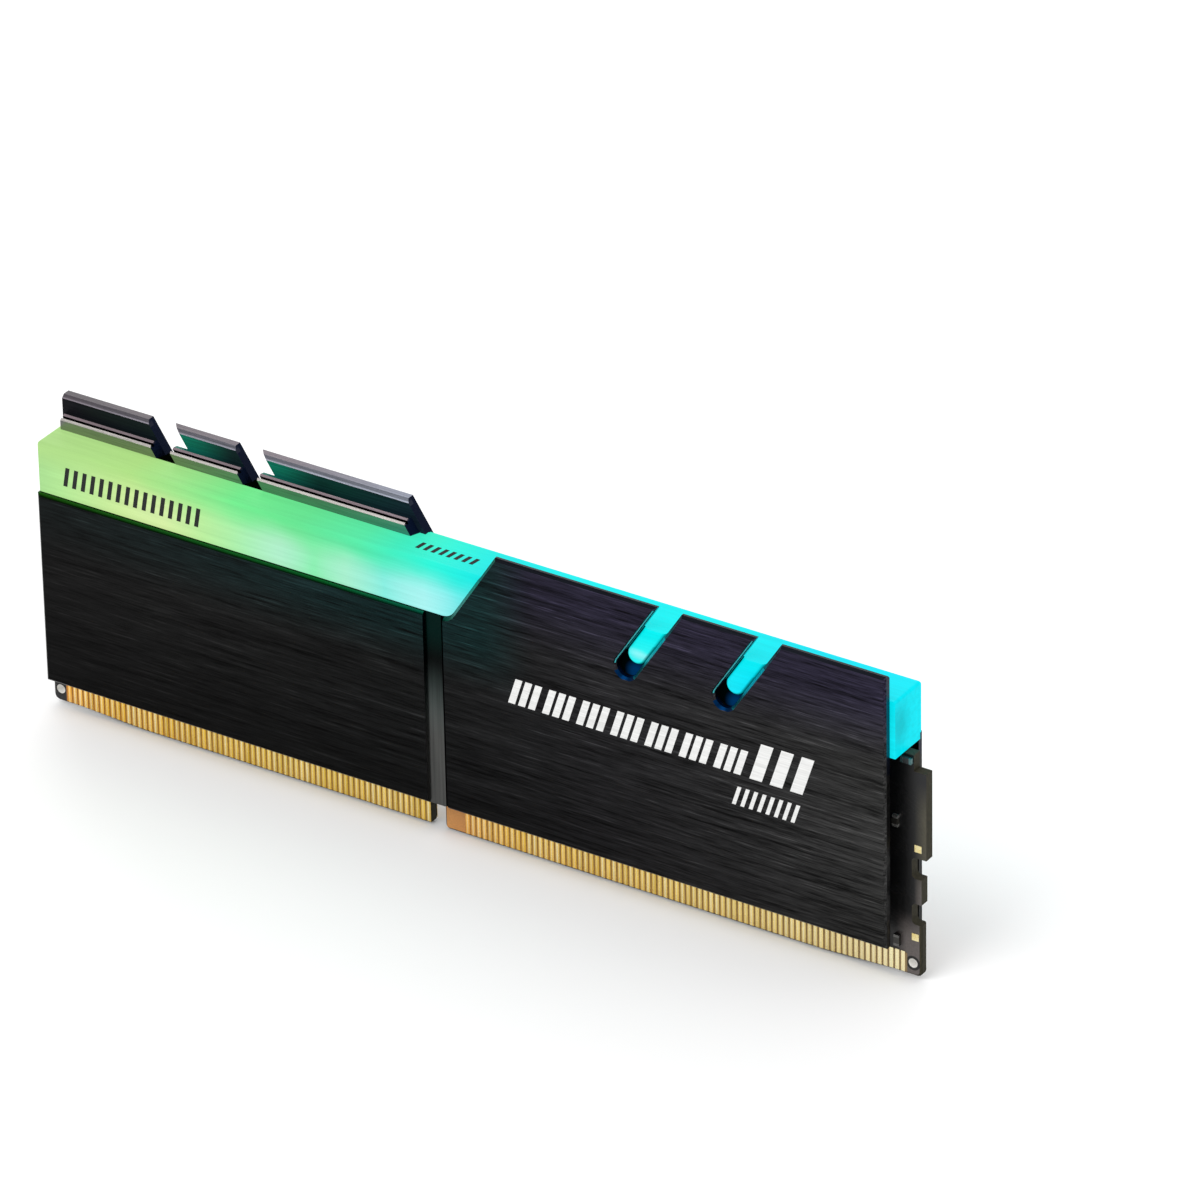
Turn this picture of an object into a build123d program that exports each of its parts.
from build123d import *
import math
import os

# RAM module with two aluminium heat spreaders and a light bar along the top.
# Millimetres.  +X runs along the module, +Z is up, the front face looks toward -Y and
# has its wide low section toward -X.  The origin is the middle of the board's length
# and thickness, on the lowest line of its contact edge.

# --- circuit board -----------------------------------------------------------
board_length = 133.35
board_thick = 1.40
half_length = board_length / 2
half_thick = board_thick / 2
shoulder_x = 64.9             # the upper corners are cut back beyond this x
shoulder_bottom = 29.9        # and above this z
shoulder_top = 32.15
tab_half_length = 61.6        # narrow upper tab inside the light bar
tab_top = 37.0
end_lift = 0.50               # the contact edge is this much higher at its ends
ramp_outer = 62.0             # |x| where the ramp of the edge starts
ramp_inner = 51.8             # |x| where the ramp has reached zero
foot_inset = 0.70             # the board below the upper notches is narrower
notch_depth = 2.10            # latch notches, from the full board's end
notch_low = (8.00, 11.00)     # bottom and top z
notch_high = (14.60, 17.60)
notch_radius = 0.60
corner_radius = 0.80
hole_x = 64.75
hole_z = 2.35
hole_diameter = 1.30
key_x = -5.80                 # middle of the key slot in the contact edge
key_width = 2.00
key_depth = 3.85
key_corner = 0.50             # rounded lower corners of the key slot
edge_bevel = 0.30             # lead-in bevel of the contact edge

# --- gold contacts and test pads ---------------------------------------------
contact_pitch = 0.85
contact_size = (0.60, 0.06, 2.90)
contact_gap = 0.30            # from the board's edge to the contact
first_contact = 3.35          # from the board's end to the first contact
count_left = 67
count_right = 77
test_pad_size = (1.0, contact_size[1], 1.0)

# --- heat spreaders ----------------------------------------------------------
outer_y = 4.00                # distance of the outer faces from the middle plane
inner_y = 2.90                # distance of the inner faces
plate_bottom = 5.30
low_top = 33.05               # top of the low section, under the light bar
tall_top = 44.00              # height at which the slanted edges are dimensioned
front_top = 44.00             # tops of the tall, slotted sections
back_top = 44.50
lean = 0.6555                 # sideways run of every slanted edge per height
lean_length = math.hypot(1, lean)
front_left = -64.60
front_right = 62.80
front_step_x = 5.95           # x of the slanted step at tall_top
front_slots = (31.66, 46.05)  # x of the slots' middles at tall_top
back_left = -64.40
back_right = 63.40
back_step_x = -10.90
back_slots = (-35.55, -49.00)
slot_half_width = 1.46
slot_end_z = 34.15            # centre of the slot's round end
step_radius = 2.20
top_radius = 0.60
edge_chamfer = 0.35
fin_inner_y = 2.20            # the fins of the back spreader are thicker
front_fin_bevel = 0.40        # bevels of the inner top edges
back_fin_bevel = 0.45
fin_skew = 0.83               # one end of each back fin runs aslant in plan

shelf_depth = 1.70            # plain ledge inside the front tall section
shelf_height = 1.15
shelf_clear = 2.50            # distance of that ledge from the slots and the step
shelf_inset = 4.00            # and from the end of the spreader

ledge_y = 0.85                # -Y face of the back spreader's stepped ledge
ledge_face_top = 41.60
ledge_rim = (1.10, 41.85)     # upper end of the bevel on that face (y, z)
ledge_groove = (1.45, 41.60)  # far side and floor of the groove (y, z)
ledge_bead = ((1.45, 41.97), (1.75, 42.15))   # bevel beyond the groove (y, z)
ledge_inset = 0.55            # from the end of the back spreader
ledge_skew = 0.40             # the ends of the ledge run aslant in plan
gap_trim = 0.45               # the ledge's gaps are narrower than the slots, on the +X side
step_trim = 0.86              # the ledge's end is cut back at the step

channel_x = 3.80              # distance of the vertical channel from the middle
channel_width = 2.50
channel_depth = 0.45
slit_width = 0.50             # deeper slit beside the channel
slit_depth = 0.85

# --- light bar ---------------------------------------------------------------
bar_left = -64.60
bar_right = 63.60
bar_middle = (bar_left + bar_right) / 2
bar_length = bar_right - bar_left
bar_bottom = 32.30
bar_top = 40.30
bar_face = 3.45               # distance of the raised faces from the middle plane
bar_gap = 0.12                # clearance to the spreader's edges
bar_edge_radius = 0.50
bar_end_radius = 0.40
finger_half_width = 1.34
finger_end_z = 36.05          # centre of the finger's round end
finger_round = 0.50           # soft rim of the fingers' round ends
cavity_half = 1.90
cavity_top = 38.30
cavity_end = 1.80             # wall at the ends
cavity_overcut = 1.0          # the cut starts this far below the bar

# --- memory chips, packing and label -----------------------------------------
chip_length, chip_thick, chip_height = 7.50, 1.10, 11.00
chip_y = half_thick + chip_thick      # outer face of the chips
chip_z = 16.50
chip_x = (-53.2, -38.6, -24.0, -10.6, 10.6, 24.0, 38.6, 53.2)
chip_bevel = 0.12
mark_inset = 1.1              # round mark, from the chip's +X and top edges
mark_radius = 0.4
mark_depth = 0.06
packing_radius = 1.0
label_thick = 0.08

# --- lights and small parts --------------------------------------------------
led_count = 8
led_pitch = 15.2
led_x = [(i - (led_count - 1) / 2) * led_pitch for i in range(led_count)]
led_width, led_thick, led_height = 1.60, 0.70, 1.60
led_z = 35.0
led_chamfer = 0.15
lens_radius = 0.60
lens_depth = 0.12
package_bevel = 0.08
resistor_offset = 2.6         # from each light to its resistor
capacitor_offsets = (-2.4, 0.0, 2.4)  # from the middle of each memory chip

os.makedirs("parts", exist_ok=True)


# --- helpers -----------------------------------------------------------------
def finish(part, label):
    part.label = label
    export_step(part, f"parts/{label}.step")


def near(value, target):
    return abs(value - target) < 0.01


def edge_z(x):
    """Height of the contact edge at a place along the board."""
    distance = abs(x)
    if distance >= ramp_outer:
        return end_lift
    if distance <= ramp_inner:
        return 0.0
    return end_lift * (distance - ramp_inner) / (ramp_outer - ramp_inner)


def slant_x(x_top, z, side):
    """x at height z of a slanted edge; side 1 leans toward -X going down."""
    return x_top - side * lean * (tall_top - z)


def slanted_band(x_top, side, left, right, z_low, z_high):
    """Corners of a band along a slanted line, between two x offsets from it."""
    low = slant_x(x_top, z_low, side)
    high = slant_x(x_top, z_high, side)
    return [(low + left, z_low), (low + right, z_low),
            (high + right, z_high), (high + left, z_high)]


def surface_boxes(label, size, spots):
    """Equal boxes lying on the board; each spot is (x, sign of the face's y, z)."""
    places = [(x, y_sign * (half_thick + size[1] / 2), z) for x, y_sign, z in spots]
    with BuildPart() as group:
        with Locations(*places):
            Box(*size)
    finish(group.part, label)


def bevelled_package(label, size, x, y_sign, z):
    """Box on the board with a bevel round its outer face."""
    with BuildPart() as package:
        with Locations((x, y_sign * (half_thick + size[1] / 2), z)):
            Box(*size)
        outer_face = package.faces().sort_by(Axis.Y)[-1 if y_sign > 0 else 0]
        chamfer(outer_face.edges(), package_bevel)
    finish(package.part, label)


def rounded_slab(label, x, z, length, height, y_low, y_high, radius):
    """Upright slab between two y values with rounded corners."""
    with BuildPart() as slab:
        with Locations((x, (y_low + y_high) / 2, z)):
            Box(length, y_high - y_low, height)
        fillet(slab.edges().filter_by(Axis.Y), radius)
    finish(slab.part, label)


# --- board -------------------------------------------------------------------
def build_board():
    foot = half_length - foot_inset
    notch_root = half_length - notch_depth
    key_round_z = key_depth - key_width / 2
    # right half of the outline (x, z), from the contact edge up to the tab
    right_half = [
        (ramp_inner, 0), (ramp_outer, end_lift), (foot, end_lift),
        (foot, notch_low[0]), (notch_root, notch_low[0]),
        (notch_root, notch_low[1]), (foot, notch_low[1]),
        (foot, notch_high[0]), (notch_root, notch_high[0]),
        (notch_root, notch_high[1]), (half_length, notch_high[1]),
        (half_length, shoulder_bottom), (shoulder_x, shoulder_bottom),
        (shoulder_x, shoulder_top), (tab_half_length, shoulder_top),
        (tab_half_length, tab_top)]
    left_half = [(-x, z) for x, z in reversed(right_half)]

    with BuildPart() as pcb:
        with BuildSketch(Plane.XZ.offset(half_thick)):
            with BuildLine():
                Polyline(*right_half, *left_half, close=True)
            make_face()
            with Locations((key_x, 0)):
                Rectangle(key_width, 2 * key_round_z, mode=Mode.SUBTRACT)
            with Locations((key_x, key_round_z)):
                Circle(key_width / 2, mode=Mode.SUBTRACT)
            with Locations((-hole_x, hole_z), (hole_x, hole_z)):
                Circle(hole_diameter / 2, mode=Mode.SUBTRACT)
        extrude(amount=-board_thick)
        notch_corners = pcb.edges().filter_by(Axis.Y).filter_by(
            lambda e: near(abs(e.center().X), notch_root))
        fillet(notch_corners, notch_radius)
        lower_corners = pcb.edges().filter_by(Axis.Y).filter_by(
            lambda e: near(abs(e.center().X), foot) and e.center().Z < 1.0)
        fillet(lower_corners, corner_radius)
        key_mouth = pcb.edges().filter_by(Axis.Y).filter_by(
            lambda e: near(abs(e.center().X - key_x), key_width / 2)
            and e.center().Z < 0.05)
        fillet(key_mouth, key_corner)
        # lead-in bevel on both faces of the straight contact edge
        contact_edges = pcb.edges().filter_by(Axis.X).filter_by(
            lambda e: e.center().Z < 0.05)
        chamfer(contact_edges, edge_bevel)
    finish(pcb.part, "pcb")


def build_contacts():
    start = half_length - first_contact
    rows = {"left": [-start + i * contact_pitch for i in range(count_left)],
            "right": [start - i * contact_pitch for i in range(count_right)]}
    for face, y_sign in (("front", -1), ("back", 1)):
        for end, row in rows.items():
            surface_boxes(f"contacts_{face}_{end}", contact_size, [
                (x, y_sign, edge_z(x) + contact_gap + contact_size[2] / 2) for x in row])
    surface_boxes("test_pads", test_pad_size, [
        (65.5, -1, 19.0), (65.1, -1, 6.2), (-65.5, 1, 19.0), (-65.1, 1, 6.2)])


# --- heat spreaders ----------------------------------------------------------
def build_spreader(label, side, low_end, tall_end, step_x, slots, top, inner, fin_bevel):
    """side 1 lies on the -Y face with its tall section toward +X, side -1 the reverse.

    low_end and tall_end are the x of the two ends; inner is the inner y of the fins.
    """
    back = side < 0
    half_slot = slot_half_width * lean_length      # measured along X
    step_high = (slant_x(step_x, top, side), top)
    step_low = (slant_x(step_x, low_top, side), low_top)
    with BuildPart() as body:
        with BuildSketch(Plane.XZ.offset(side * outer_y)) as plate:
            with BuildLine():
                Polyline((low_end, plate_bottom), (tall_end, plate_bottom), (tall_end, top),
                         step_high, step_low, (low_end, low_top), close=True)
            make_face()
            low_corner = plate.vertices().sort_by_distance(
                (step_low[0], -side * outer_y, step_low[1]))[0]
            fillet(low_corner, step_radius)
            top_corners = plate.vertices().filter_by(lambda v: v.Z > top - 0.01)
            fillet(top_corners, top_radius)
        extrude(amount=-side * (outer_y - inner_y))

        if back:
            # thicker fins above the light bar
            with BuildSketch(Plane.XZ.offset(side * inner_y)) as fins:
                with BuildLine():
                    Polyline((tall_end, bar_top), (tall_end, top), step_high,
                             (slant_x(step_x, bar_top, side), bar_top), close=True)
                make_face()
                top_corners = fins.vertices().filter_by(lambda v: v.Z > top - 0.01)
                fillet(top_corners, top_radius)
            extrude(amount=-side * (inner_y - inner))

        # slanted slots, open at the top, round at the bottom
        cut_start = 2 * outer_y
        reach = (tall_top + 4 - slot_end_z) * lean_length
        slot_angle = math.degrees(math.atan2(1, side * lean))
        with BuildSketch(Plane.XZ.offset(side * cut_start)):
            for slot_x in slots:
                end_x = slant_x(slot_x, slot_end_z, side)
                with Locations((end_x, slot_end_z)):
                    Circle(slot_half_width)
                with Locations(Location((end_x, slot_end_z), slot_angle)):
                    Rectangle(reach, 2 * slot_half_width, align=(Align.MIN, Align.CENTER))
        extrude(amount=-side * (cut_start - inner + 0.2), mode=Mode.SUBTRACT)

        # chamfer round the outer face
        outer_faces = body.faces().filter_by(
            lambda f: near(abs(f.normal_at().Y), 1) and near(f.center().Y, -side * outer_y))
        chamfer(outer_faces.edges(), edge_chamfer)
        # bevel on the inner top edge of the fins
        inner_tops = body.edges().filter_by(Axis.X).filter_by(
            lambda e: near(e.center().Z, top) and near(e.center().Y, -side * inner))
        chamfer(inner_tops, fin_bevel)

        if back:
            # one end of each fin beside a slot, cut aslant in plan above the light bar
            cut_y = outer_y - edge_chamfer - 0.01
            with BuildSketch(Plane.XZ.offset(-cut_y)):
                for slot_x in slots:
                    with BuildLine():
                        Polyline(*slanted_band(slot_x, side, 0.0, half_slot, bar_top, top + 1),
                                 close=True)
                    make_face()
            extrude(amount=(cut_y - inner) * math.hypot(1, fin_skew),
                    dir=(fin_skew, -1, 0), mode=Mode.SUBTRACT)

            # stepped ledge on the light bar, on the -Y side of the fins
            ledge_top = ledge_bead[1][1]
            ledge_start = tall_end + ledge_inset
            ledge_stop = slant_x(step_x, bar_top, side) + 1.0
            with BuildSketch(Plane.YZ.offset(ledge_start)):
                with BuildLine():
                    Polyline((inner, bar_top), (ledge_y, bar_top), (ledge_y, ledge_face_top),
                             ledge_rim, (ledge_rim[0], ledge_groove[1]), ledge_groove,
                             *ledge_bead, (inner, ledge_top), close=True)
                make_face()
            extrude(amount=ledge_stop - ledge_start)

            # its gaps at the slots and its end at the step, aslant in plan
            with BuildSketch(Plane.XZ.offset(-inner)):
                for slot_x in slots:
                    with BuildLine():
                        Polyline(*slanted_band(slot_x, side, -half_slot, half_slot - gap_trim,
                                               bar_top - 1, ledge_top + 1), close=True)
                    make_face()
                with BuildLine():
                    Polyline(*slanted_band(step_x, side, -step_trim, 6.0,
                                           bar_top - 1, ledge_top + 1), close=True)
                make_face()
            extrude(amount=(inner - ledge_y + 0.5) * math.hypot(1, ledge_skew),
                    dir=(-ledge_skew, -1, 0), mode=Mode.SUBTRACT)
        else:
            # plain ledge on the light bar, clear of the slots and of the ends
            shelf_top = bar_top + shelf_height
            shelf_end = tall_end - shelf_inset
            slot_clear = half_slot + shelf_clear
            with BuildSketch(Plane.XZ.offset(inner_y)):
                with BuildLine():
                    Polyline((shelf_end, bar_top), (shelf_end, shelf_top),
                             (slant_x(step_x, shelf_top, side) + shelf_clear, shelf_top),
                             (slant_x(step_x, bar_top, side) + shelf_clear, bar_top),
                             close=True)
                make_face()
                for slot_x in slots:
                    with BuildLine():
                        Polyline(*slanted_band(slot_x, side, -slot_clear, slot_clear,
                                               bar_top - 1, shelf_top + 1), close=True)
                    make_face(mode=Mode.SUBTRACT)
            extrude(amount=-shelf_depth)

        # vertical channel in the outer face, then the deeper slit on its side
        # nearer the middle
        slit_x = channel_x - (channel_width + slit_width) / 2
        for x, width, depth in ((channel_x, channel_width, channel_depth),
                                (slit_x, slit_width, slit_depth)):
            with Locations((-side * x, -side * outer_y, (plate_bottom + low_top) / 2)):
                Box(width, 2 * depth, low_top - plate_bottom + 2, mode=Mode.SUBTRACT)
    finish(body.part, label)


# --- light bar ---------------------------------------------------------------
def build_light_bar():
    low = low_top + bar_gap
    # half width of a finger along X, and the run and rise of its square half width
    finger_dx = finger_half_width * lean_length
    normal_x = finger_half_width / lean_length
    normal_z = finger_half_width * lean / lean_length
    with BuildPart() as light_bar:
        with Locations((bar_middle, 0, (bar_bottom + bar_top) / 2)):
            Box(bar_length, 2 * inner_y, bar_top - bar_bottom)
        for side, end_x, step_x, slots in ((1, bar_left, front_step_x, front_slots),
                                           (-1, bar_right, back_step_x, back_slots)):
            # raised face above the low section
            step_at_top = slant_x(step_x, bar_top, side) - side * bar_gap
            step_at_low = slant_x(step_x, low, side) - side * bar_gap
            with BuildSketch(Plane.XZ.offset(side * inner_y)) as raised:
                with BuildLine():
                    Polyline((end_x, low), (step_at_low, low), (step_at_top, bar_top),
                             (end_x, bar_top), close=True)
                make_face()
                corner = raised.vertices().sort_by_distance(
                    (step_at_low, -side * inner_y, low))[0]
                fillet(corner, step_radius - bar_gap)
            extrude(amount=side * (bar_face - inner_y))
            # fingers in the slots
            with BuildSketch(Plane.XZ.offset(side * inner_y)):
                for slot_x in slots:
                    tip_x = slant_x(slot_x, finger_end_z, side)
                    root_x = slant_x(slot_x, bar_top, side)
                    with BuildLine():
                        Polyline((root_x - finger_dx, bar_top), (root_x + finger_dx, bar_top),
                                 (tip_x + normal_x, finger_end_z - side * normal_z),
                                 (tip_x - normal_x, finger_end_z + side * normal_z),
                                 close=True)
                    make_face()
                    with Locations((tip_x, finger_end_z)):
                        Circle(finger_half_width)
            extrude(amount=side * (bar_face - inner_y))
        # soft upper edges of the two raised faces
        upper_edges = light_bar.edges().filter_by(Axis.X).filter_by(
            lambda e: e.center().Z > bar_top - 0.01 and near(abs(e.center().Y), bar_face)
            and e.length > 10)
        fillet(upper_edges, bar_edge_radius)
        # soft rims of the fingers' round ends
        tip_rims = light_bar.edges().filter_by(GeomType.CIRCLE).filter_by(
            lambda e: near(abs(e.center().Y), bar_face) and near(e.radius, finger_half_width))
        fillet(tip_rims, finger_round)
        # upright edges of the raised faces at the bar's ends
        end_edges = light_bar.edges().filter_by(Axis.Z).filter_by(
            lambda e: (near(e.center().X, bar_left) or near(e.center().X, bar_right))
            and near(abs(e.center().Y), bar_face))
        fillet(end_edges, bar_end_radius)
        # hollow for the board's tab and the lights, open below
        with Locations((bar_middle, 0, (bar_bottom + cavity_top - cavity_overcut) / 2)):
            Box(bar_length - 2 * cavity_end, 2 * cavity_half,
                cavity_top - bar_bottom + cavity_overcut, mode=Mode.SUBTRACT)
    finish(light_bar.part, "light_bar")


# --- chips and lights --------------------------------------------------------
def build_memory_chip(label, x):
    """Memory chip on the +Y face with a shallow round mark in one corner."""
    with BuildPart() as chip:
        with Locations((x, half_thick + chip_thick / 2, chip_z)):
            Box(chip_length, chip_thick, chip_height)
        chamfer(chip.faces().sort_by(Axis.Y)[-1].edges(), chip_bevel)
        with BuildSketch(Plane.XZ.offset(-chip_y)):
            with Locations((x + chip_length / 2 - mark_inset,
                            chip_z + chip_height / 2 - mark_inset)):
                Circle(mark_radius)
        extrude(amount=mark_depth, mode=Mode.SUBTRACT)
    finish(chip.part, label)


def build_led(label, x):
    """Light on the -Y face with a shallow round lens well."""
    with BuildPart() as led:
        with Locations((x, -half_thick - led_thick / 2, led_z)):
            Box(led_width, led_thick, led_height)
        chamfer(led.edges().filter_by(Axis.Y), led_chamfer)
        with BuildSketch(Plane.XZ.offset(half_thick + led_thick)):
            with Locations((x, led_z)):
                Circle(lens_radius)
        extrude(amount=-lens_depth, mode=Mode.SUBTRACT)
    finish(led.part, label)


def build_small_parts():
    # label, size of each box, and spots (x, sign of the face's y, z)
    groups = (
        ("led_resistors", (1.00, 0.40, 0.50),
         [(x + resistor_offset, -1, led_z) for x in led_x]),
        ("capacitors_back", (1.00, 0.50, 0.50),
         [(x + dx, 1, z) for x in chip_x for dx in capacitor_offsets for z in (25.6, 8.2)]),
        ("capacitors_front", (1.00, 0.50, 0.50),
         [(x + dx, -1, 8.0) for x in chip_x for dx in capacitor_offsets]),
        ("data_resistor_arrays", (2.00, 0.45, 1.00),
         [(sign * (12.0 + i * 6.0), 1, 5.6) for i in range(9) for sign in (-1, 1)]),
        ("termination_resistors", (1.60, 0.45, 0.80),
         [(-60.0 + i * 3.2, 1, 29.0) for i in range(6)]),
        ("edge_capacitors", (0.80, 0.50, 1.60), [(62.4, -1, 22.3), (62.6, -1, 5.2)]),
        ("corner_capacitors", (1.60, 0.50, 0.80), [(64.0, -1, 31.4), (-64.0, -1, 31.4)]),
    )
    for label, size, spots in groups:
        surface_boxes(label, size, spots)


# --- build all pieces --------------------------------------------------------
build_board()
build_contacts()
build_spreader("front_heat_spreader", side=1, low_end=front_left, tall_end=front_right,
               step_x=front_step_x, slots=front_slots, top=front_top,
               inner=inner_y, fin_bevel=front_fin_bevel)
build_spreader("back_heat_spreader", side=-1, low_end=back_right, tall_end=back_left,
               step_x=back_step_x, slots=back_slots, top=back_top,
               inner=fin_inner_y, fin_bevel=back_fin_bevel)
build_light_bar()

for number, x in enumerate(chip_x, 1):
    build_memory_chip(f"dram_u{number}", x)
for number, x in enumerate(led_x, 1):
    build_led(f"rgb_led_{number}", x)

rounded_slab("thermal_pad_back", x=0, z=chip_z, length=121.0, height=14.0,
             y_low=chip_y, y_high=inner_y, radius=packing_radius)
rounded_slab("foam_front", x=-1.0, z=chip_z, length=117.0, height=13.0,
             y_low=-inner_y, y_high=-half_thick, radius=packing_radius)
# blank label on the outer face of the back spreader
rounded_slab("back_label", x=34.0, z=19.0, length=50.0, height=18.0,
             y_low=outer_y, y_high=outer_y + label_thick, radius=1.2)

bevelled_package("spd_eeprom", size=(3.0, 0.75, 2.0), x=0, y_sign=1, z=17.0)
bevelled_package("led_controller", size=(4.0, 0.80, 4.0), x=20.0, y_sign=-1, z=27.5)
build_small_parts()
